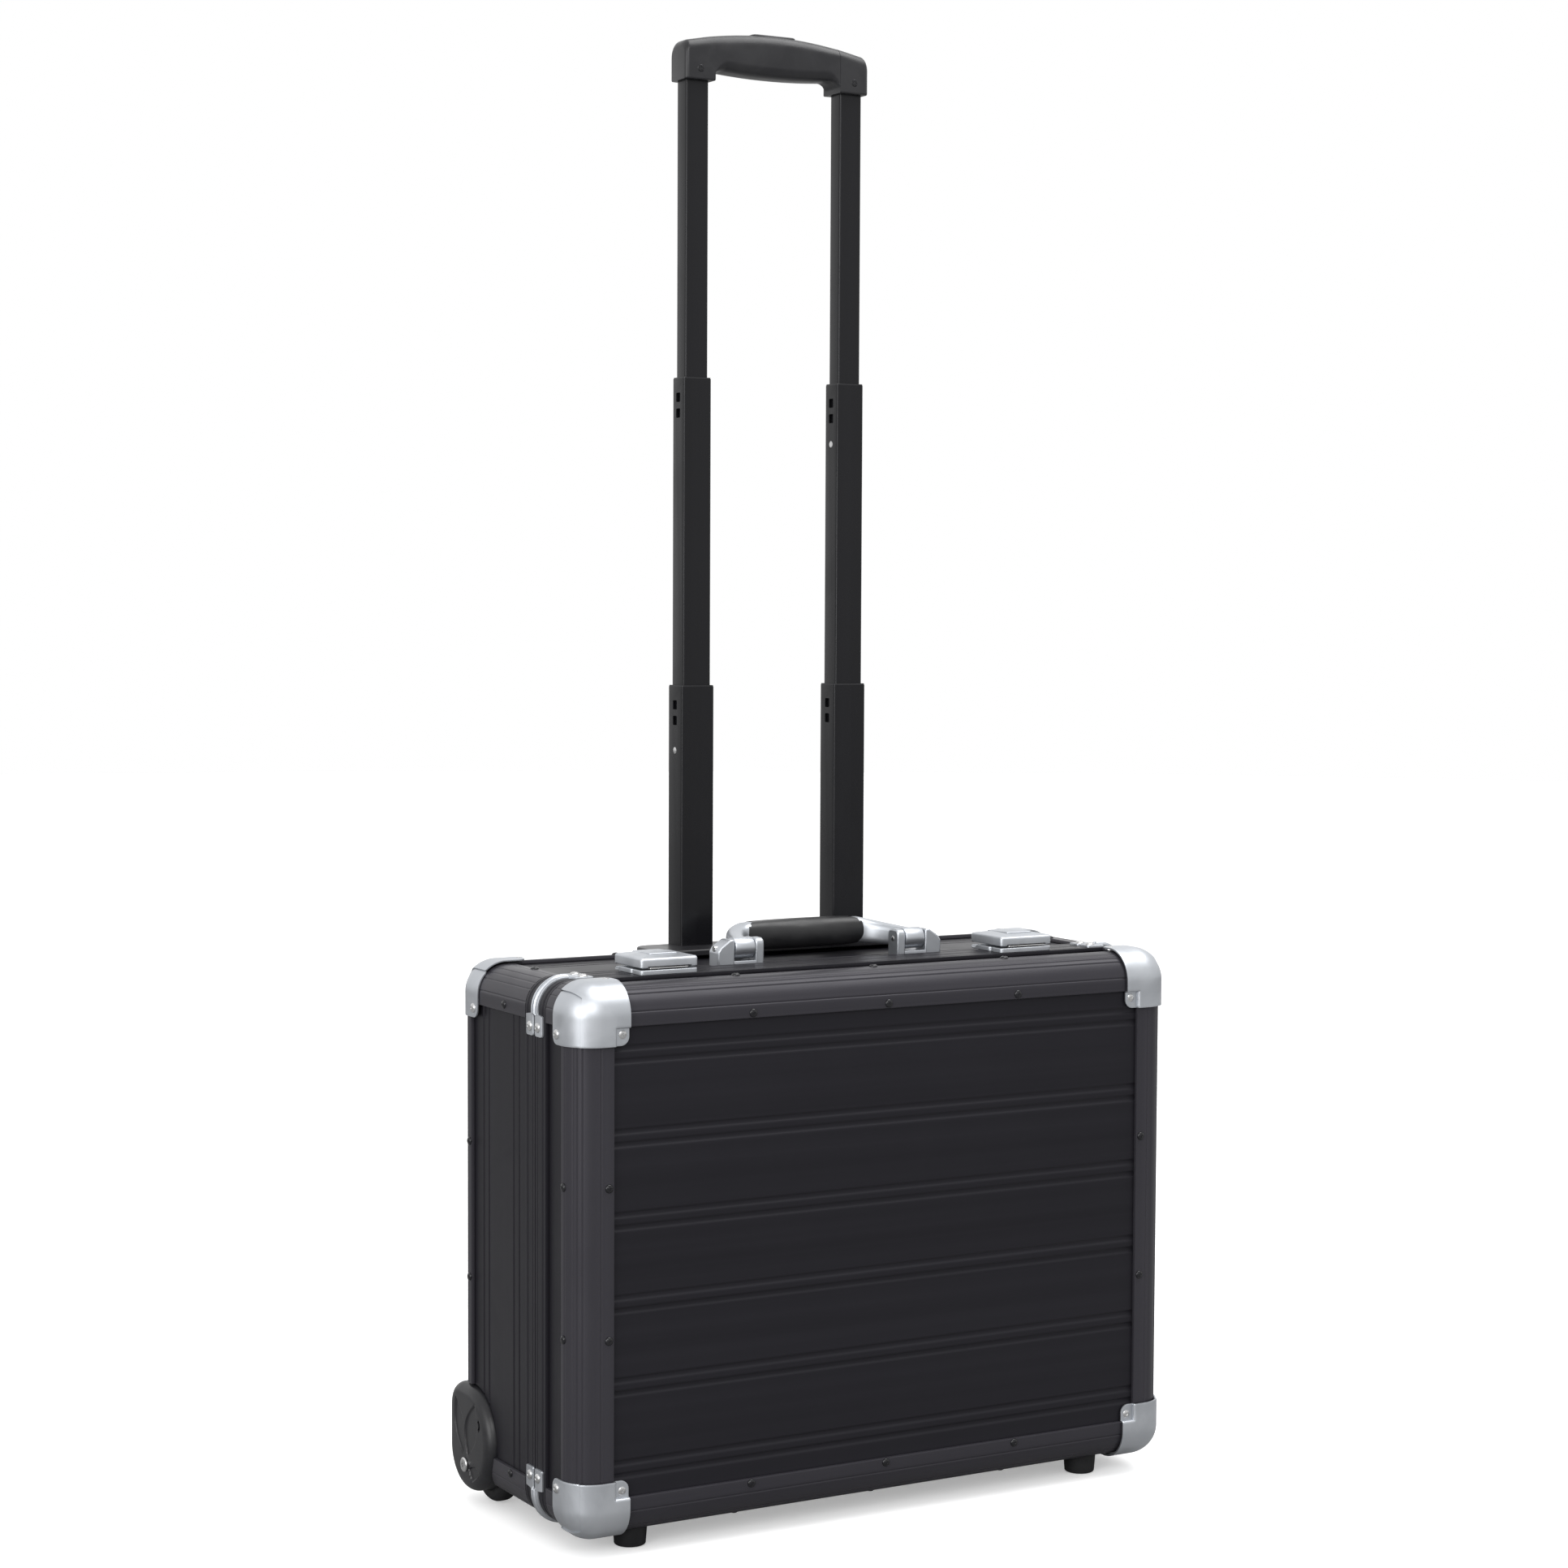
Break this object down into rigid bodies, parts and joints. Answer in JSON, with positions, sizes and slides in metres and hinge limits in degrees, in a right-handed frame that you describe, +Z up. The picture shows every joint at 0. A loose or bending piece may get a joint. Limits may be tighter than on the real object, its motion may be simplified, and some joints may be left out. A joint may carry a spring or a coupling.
{
  "type": "wheeled aluminium case",
  "caption": "Wheeled aluminium case with a hinged lid, lift-up latches, folding carry handle and a telescopic trolley handle with a release button.",
  "frame": {"origin": "middle of the footprint, on the floor", "axes": "+Z up, front panel faces -Y, +X to the right as seen from the front"},
  "size_m": [0.4824, 0.1956, 1.0215],
  "materials": {
    "black_aluminium": "black anodised, satin",
    "silver_metal": "brushed silver",
    "steel": "bright",
    "black_plastic": "satin black",
    "foot_rubber": "matt black",
    "wheel_tread": "matt black",
    "handle_padding": "soft matt black",
    "lining_fabric": "dark woven lining"
  },
  "bodies": {
    "rear_half": {"rear_panel": "black_aluminium", "rear_frame": "black_aluminium", "rear_lining": "lining_fabric", "hinge_leaf_rear": "steel", "top_panel": "black_aluminium", "bottom_panel": "black_aluminium", "rear_profile_top": "black_aluminium", "rear_profile_bottom": "black_aluminium", "rear_profile_left": "black_aluminium", "rear_profile_right": "black_aluminium", "side_panel_left": "black_aluminium", "side_panel_right": "black_aluminium", "rear_cap_left": "silver_metal", "rear_cap_right": "silver_metal", "corner_profile_top_left": "black_aluminium", "corner_profile_top_right": "black_aluminium", "corner_profile_bottom_left": "black_aluminium", "corner_profile_bottom_right": "black_aluminium", "wheel_housing_left": "black_plastic", "wheel_housing_right": "black_plastic", "wheel_axle_left": "steel", "wheel_axle_right": "steel", "latch_base_left": "silver_metal", "latch_base_right": "silver_metal", "handle_bracket_left": "silver_metal", "handle_bracket_right": "silver_metal", "trolley_carrier": "black_aluminium", "trolley_collar": "black_plastic"},
    "lid": {"front_panel": "black_aluminium", "lid_side_band": "black_aluminium", "lid_frame": "black_aluminium", "lid_lining": "lining_fabric", "hinge_leaf_lid": "steel", "lid_profile_left": "black_aluminium", "lid_profile_right": "black_aluminium", "lid_profile_top": "black_aluminium", "lid_profile_bottom": "black_aluminium", "foot_left": "foot_rubber", "foot_right": "foot_rubber", "latch_strike_left": "silver_metal", "latch_strike_right": "silver_metal", "lid_cap_top_left": "silver_metal", "lid_cap_top_right": "silver_metal", "lid_cap_bottom_left": "silver_metal", "lid_cap_bottom_right": "silver_metal"},
    "left_wheel": {"wheel_left": "wheel_tread"},
    "right_wheel": {"wheel_right": "wheel_tread"},
    "left_latch": {"latch_cover_left": "silver_metal"},
    "right_latch": {"latch_cover_right": "silver_metal"},
    "carry_handle": {"carry_handle_frame": "silver_metal", "carry_handle_grip": "handle_padding"},
    "trolley_lower": {"lower_tube_left": "black_aluminium", "lower_tube_right": "black_aluminium"},
    "trolley_middle": {"middle_tube_left": "black_aluminium", "middle_tube_right": "black_aluminium"},
    "trolley_upper": {"upper_tube_left": "black_aluminium", "upper_tube_right": "black_aluminium", "trolley_grip": "black_plastic"},
    "button": {"release_button": "black_plastic"}
  },
  "joints": [
    {"name": "lid_hinge", "type": "hinge", "parent": "rear_half", "child": "lid", "pos_m": [0, -0.03605, 0.0108], "axis": [1, 0, 0], "range_deg": [0, 95]},
    {"name": "left_wheel_spin", "type": "hinge", "parent": "rear_half", "child": "left_wheel", "pos_m": [-0.215, 0.06725, 0.028], "axis": [1, 0, 0], "continuous": true},
    {"name": "right_wheel_spin", "type": "hinge", "parent": "rear_half", "child": "right_wheel", "pos_m": [0.215, 0.06725, 0.028], "axis": [1, 0, 0], "continuous": true},
    {"name": "left_latch_lift", "type": "hinge", "parent": "rear_half", "child": "left_latch", "pos_m": [-0.143, -0.01425, 0.3811], "axis": [-1, 0, 0], "range_deg": [0, 95]},
    {"name": "right_latch_lift", "type": "hinge", "parent": "rear_half", "child": "right_latch", "pos_m": [0.143, -0.01425, 0.3811], "axis": [-1, 0, 0], "range_deg": [0, 95]},
    {"name": "carry_handle_lift", "type": "hinge", "parent": "rear_half", "child": "carry_handle", "pos_m": [0, -0.0137, 0.3871], "axis": [1, 0, 0], "range_deg": [0, 95]},
    {"name": "trolley_lower_slide", "type": "slide", "parent": "rear_half", "child": "trolley_lower", "axis": [0, 0, 1], "range_m": [-0.182, 0]},
    {"name": "trolley_middle_slide", "type": "slide", "parent": "trolley_lower", "child": "trolley_middle", "axis": [0, 0, 1], "range_m": [-0.215, 0]},
    {"name": "trolley_upper_slide", "type": "slide", "parent": "trolley_middle", "child": "trolley_upper", "axis": [0, 0, 1], "range_m": [-0.206, 0]},
    {"name": "button_press", "type": "slide", "parent": "trolley_upper", "child": "button", "axis": [0, 0, 1], "range_m": [-0.003, 0], "stiffness_N_per_m": 400, "springref_m": 0.002}
  ]
}
